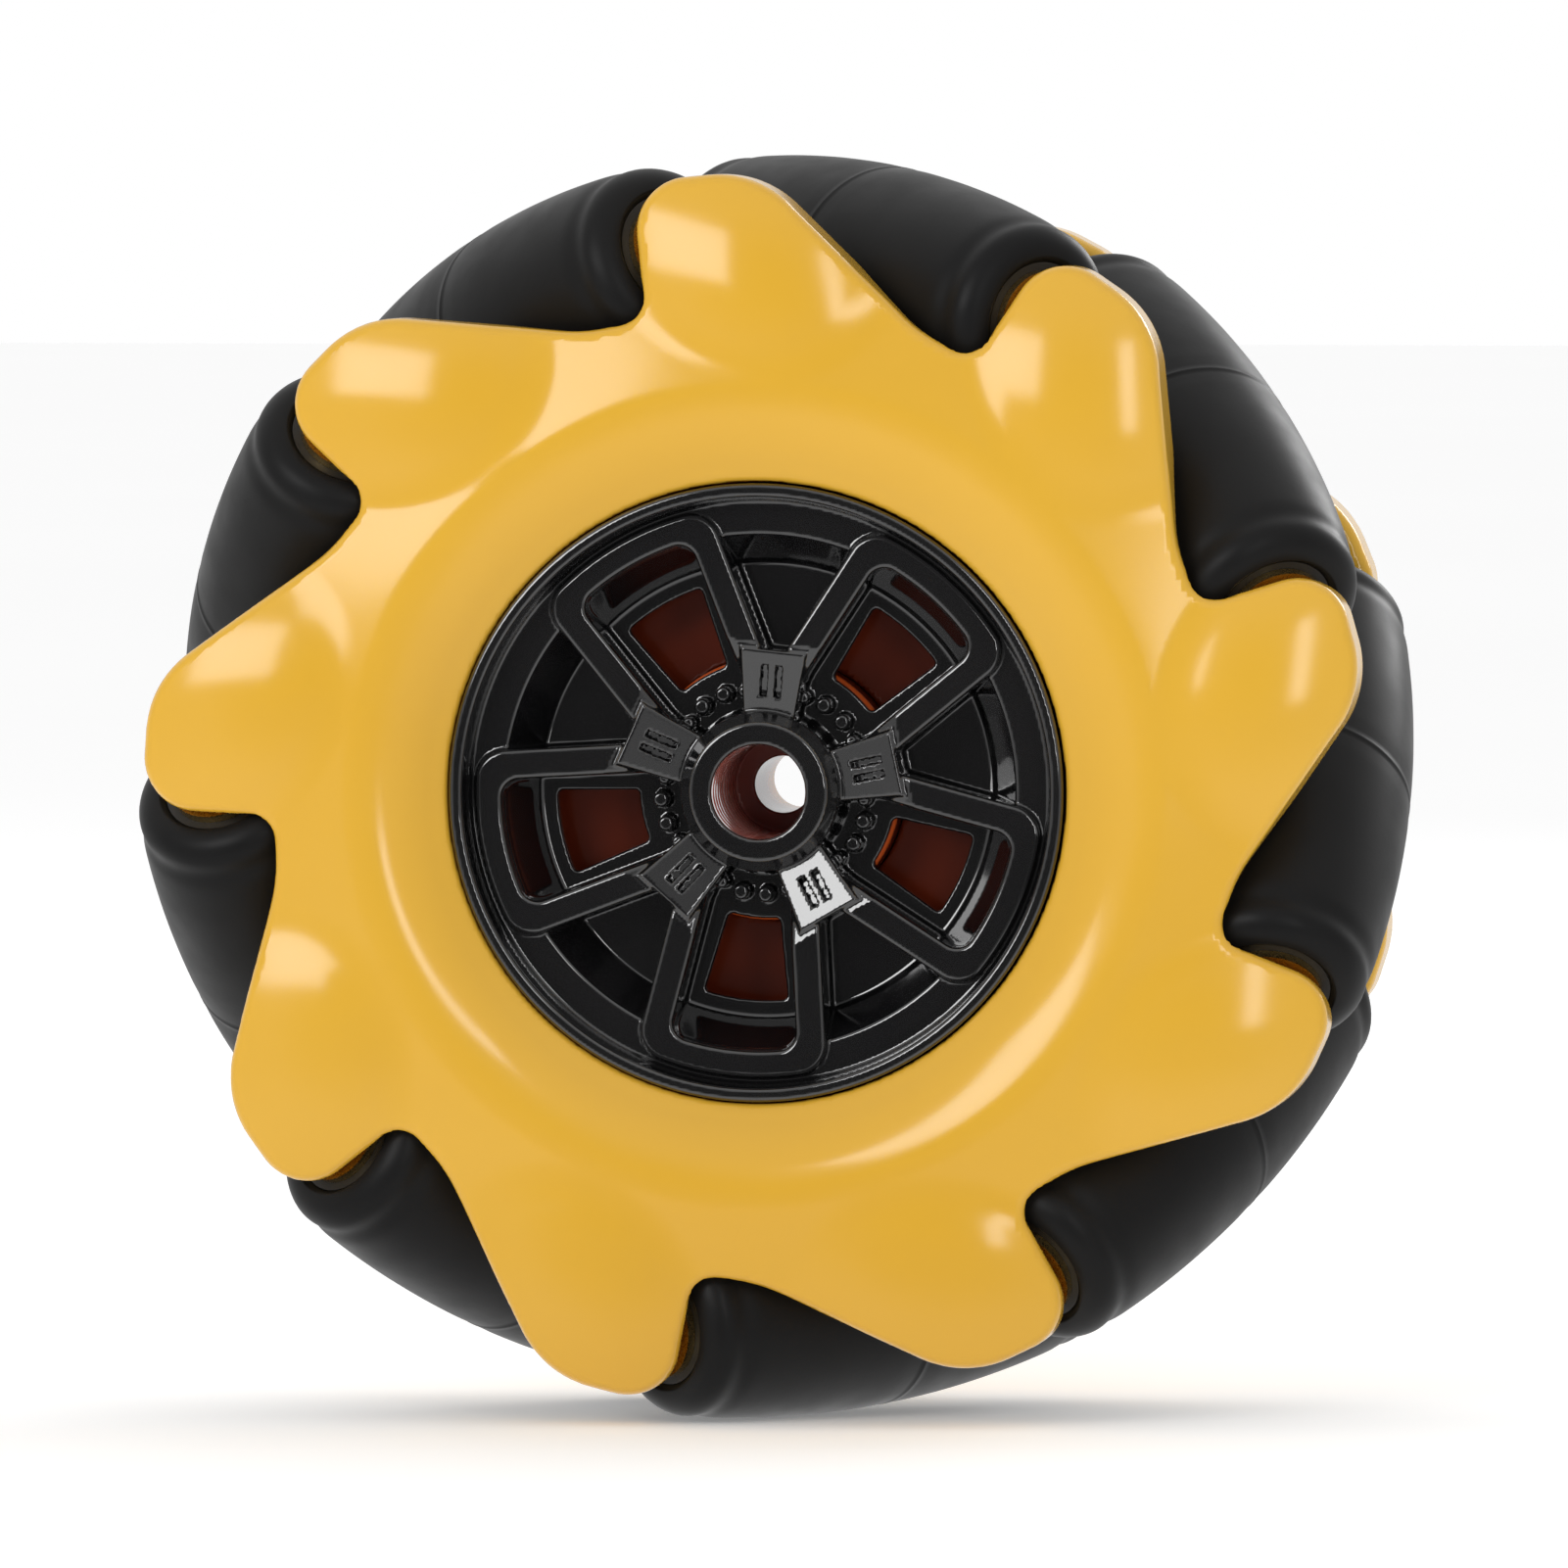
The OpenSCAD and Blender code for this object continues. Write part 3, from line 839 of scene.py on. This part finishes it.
def rubber():
    material, nodes, links, shader, place = new_material("rubber")
    broad = ramp(nodes, links, noise(nodes, links, place, 45, 4), 0, 1)
    colour = mixed(nodes, links, broad, (0.007, 0.007, 0.0074), (0.011, 0.0108, 0.0108))
    links.new(colour, shader.inputs["Base Color"])
    rough = ramp(nodes, links, noise(nodes, links, place, 260, 5), 0.36, 0.46)
    links.new(rough, shader.inputs["Roughness"])
    shader.inputs["Specular IOR Level"].default_value = 0.13
    bumped(nodes, links, shader, [
        (noise(nodes, links, place, 2600, 3), 0.12, 0.00003),
        (noise(nodes, links, place, 160, 2), 0.06, 0.0001),
    ])
    return material


def core_plastic():
    material, nodes, links, shader, place = new_material("core_plastic")
    fine = noise(nodes, links, place, 200)
    colour = mixed(nodes, links, fine, (0.012, 0.012, 0.012), (0.024, 0.024, 0.024))
    links.new(colour, shader.inputs["Base Color"])
    links.new(ramp(nodes, links, noise(nodes, links, place, 500), 0.4, 0.6), shader.inputs["Roughness"])
    return material


def turned_metal(name, dark, light, low_rough, high_rough):
    material, nodes, links, shader, place = new_material(name)
    shader.inputs["Metallic"].default_value = 1.0
    colour = mixed(nodes, links, noise(nodes, links, place, 400), dark, light)
    links.new(colour, shader.inputs["Base Color"])
    fine = noise(nodes, links, place, 3500, 4)
    links.new(ramp(nodes, links, fine, low_rough, high_rough), shader.inputs["Roughness"])
    bumped(nodes, links, shader, [(fine, 0.05, 0.00002)])
    return material


def paint(piece, material):
    piece.data.materials.clear()
    piece.data.materials.append(material)


# ---- Camera, floor and light ----

CAMERA_AZ, CAMERA_EL = math.radians(7.0), math.radians(2.2)
CAMERA_AWAY = 1.37
FRAME_WIDTH = 0.121         # width of the picture at the wheel
SENSOR = 36.0
FLOOR_HALF = 6.0
FLOOR_GLOW = 0.2
SKY = 0.46                  # the sky's brightness beside the wheel
SOFTBOX_AWAY = 0.9
SOFTBOXES = (
    # name, direction from the wheel, width, height, radiance
    ("upper_left", (-0.476, -0.82, 0.33), 0.46, 0.3, 6.0),
    ("right", (0.36, -0.86, 0.22), 0.09, 0.42, 6.5),
    ("rear", (0.45, 0.8, 0.36), 0.4, 0.3, 5.0),
)


def make_camera():
    camera = bpy.data.objects.new("camera", bpy.data.cameras.new("camera"))
    bpy.context.scene.collection.objects.link(camera)
    way = Vector((
        math.sin(CAMERA_AZ) * math.cos(CAMERA_EL),
        -math.cos(CAMERA_AZ) * math.cos(CAMERA_EL),
        math.sin(CAMERA_EL),
    ))
    camera.location = way * CAMERA_AWAY
    camera.rotation_euler = (-way).to_track_quat("-Z", "Y").to_euler()
    camera.data.sensor_width = SENSOR
    camera.data.lens = SENSOR * CAMERA_AWAY / FRAME_WIDTH
    camera.data.clip_start = 0.05
    camera.data.clip_end = 20
    bpy.context.scene.camera = camera


def make_floor():
    level, far = CAD_BOX[0].z, FLOOR_HALF
    corners = np.array([[-far, -far, level], [far, -far, level], [far, far, level], [-far, far, level]])
    floor = mesh_piece("floor", corners, [(0, 1, 2, 3)])
    material, nodes, links, shader, place = new_material("floor")
    colour = mixed(nodes, links, noise(nodes, links, place, 3), (0.93, 0.93, 0.93), (0.95, 0.95, 0.95))
    links.new(colour, shader.inputs["Base Color"])
    shader.inputs["Emission Strength"].default_value = FLOOR_GLOW
    shader.inputs["Roughness"].default_value = 0.8
    shader.inputs["Specular IOR Level"].default_value = 0.0
    shader.inputs["Emission Color"].default_value = (1, 1, 1, 1)
    paint(floor, material)
    floor.visible_glossy = False        # so that flat black faces aren't greyed by the floor in front


def softbox(name, toward, width, height, radiance):
    """Rectangular light that faces the wheel, in this direction from it."""
    light = bpy.data.lights.new(name, "AREA")
    light.shape = "RECTANGLE"
    light.size, light.size_y = width, height
    light.energy = radiance * math.pi * width * height
    lamp = bpy.data.objects.new(name, light)
    bpy.context.scene.collection.objects.link(lamp)
    way = Vector(toward).normalized()
    lamp.location = way * SOFTBOX_AWAY
    lamp.rotation_euler = (-way).to_track_quat("-Z", "Y").to_euler()


def make_sky():
    """Pale surroundings: dark only in front of the wheel, and brighter overhead, behind and below.

    The camera itself sees plain white.
    """
    world = bpy.data.worlds.new("studio")
    world.use_nodes = True
    nodes, links = world.node_tree.nodes, world.node_tree.links
    place = nodes.new("ShaderNodeTexCoord")
    parts = nodes.new("ShaderNodeSeparateXYZ")
    links.new(place.outputs["Generated"], parts.inputs["Vector"])
    # axis, where the band starts and ends, and what it adds there
    bands = (
        ("Y", -0.985, -0.8, 0.06, SKY),
        ("Y", -0.1, 0.35, 0.0, 0.38),
        ("Z", 0.25, 0.9, 0.0, 0.3),
        ("Z", -0.12, -0.5, 0.0, 0.35),
    )
    total = None
    for axis, from_low, from_high, low, high in bands:
        band = nodes.new("ShaderNodeMapRange")
        band.interpolation_type = "SMOOTHSTEP"
        band.inputs["From Min"].default_value = from_low
        band.inputs["From Max"].default_value = from_high
        band.inputs["To Min"].default_value = low
        band.inputs["To Max"].default_value = high
        links.new(parts.outputs[axis], band.inputs["Value"])
        if total is None:
            total = band.outputs["Result"]
            continue
        add = nodes.new("ShaderNodeMath")
        links.new(total, add.inputs[0])
        links.new(band.outputs["Result"], add.inputs[1])
        total = add.outputs["Value"]
    path = nodes.new("ShaderNodeLightPath")
    seen = nodes.new("ShaderNodeMix")
    links.new(path.outputs["Is Camera Ray"], seen.inputs["Factor"])
    links.new(total, seen.inputs["A"])
    seen.inputs["B"].default_value = 1.0
    links.new(seen.outputs["Result"], nodes["Background"].inputs["Strength"])
    nodes["Background"].inputs["Color"].default_value = (1, 1, 1, 1)
    bpy.context.scene.world = world


def make_light():
    make_sky()
    for name, toward, width, height, radiance in SOFTBOXES:
        softbox(name, toward, width, height, radiance)
    bpy.context.scene.view_settings.view_transform = "Standard"


# ---- The wheel ----

# Grid steps of the moulded pieces in millimetres: full, and quick
PLATE_STEPS = (0.42, 0.9)
CAP_STEPS = (0.2, 0.5)
CORE_STEPS = (0.2, 0.6)


def make_plates(yellow):
    step = PLATE_STEPS[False]
    edge = TIP_R + 1
    shapes = (
        ("front_moulding", front_plate_field, -4, HALF_W + 1, "front_plate"),
        ("rear_moulding", rear_plate_field, -HALF_W - 1, 1, "rear_plate"),
    )
    for name, field, low, high, node in shapes:
        plate = moulded(name, field, (-edge, -edge, low), (edge, edge, high), step)
        finish_piece(plate, node, yellow)


def finish_piece(piece, node, material):
    """Fixes a moulded piece to the wheel's body in place of its CAD node."""
    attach(piece, "wheel")
    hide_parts(node)
    paint(piece, material)


def make_hub(yellow, black):
    edge = CAP_R + 0.6
    low, high = (-edge, -edge, CAP_BACK - 0.6), (edge, edge, CAP_FRONT + 0.6)
    cap = moulded("hub_cap_moulding", hub_cap_field, low, high, CAP_STEPS[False])
    finish_piece(cap, "hub_cap", black)
    edge = CORE_FLANGE_R + 0.6
    low, high = (-edge, -edge, CORE_REAR - 0.7), (edge, edge, CORE_FRONT + 0.7)
    core = moulded("hub_core_moulding", hub_core_field, low, high, CORE_STEPS[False])
    finish_piece(core, "hub_core", yellow)


make_camera()
yellow, black, tyre_rubber = yellow_plastic(), black_gloss(), rubber()
make_plates(yellow)
make_hub(yellow, black)
for tyre in make_tyres():
    paint(tyre, tyre_rubber)
core_black = core_plastic()
steel = turned_metal("steel", (0.5, 0.5, 0.52), (0.6, 0.6, 0.61), 0.2, 0.32)
brass = turned_metal("brass", (0.62, 0.42, 0.16), (0.74, 0.53, 0.22), 0.22, 0.36)
for i in range(1, ROLLERS + 1):
    paint(NODES[f"roller_core_{i}"], core_black)
    paint(NODES[f"roller_bushes_{i}"], brass)
    paint(NODES[f"roller_pin_{i}"], steel)
paint(NODES["plate_screws"], steel)
make_floor()
make_light()
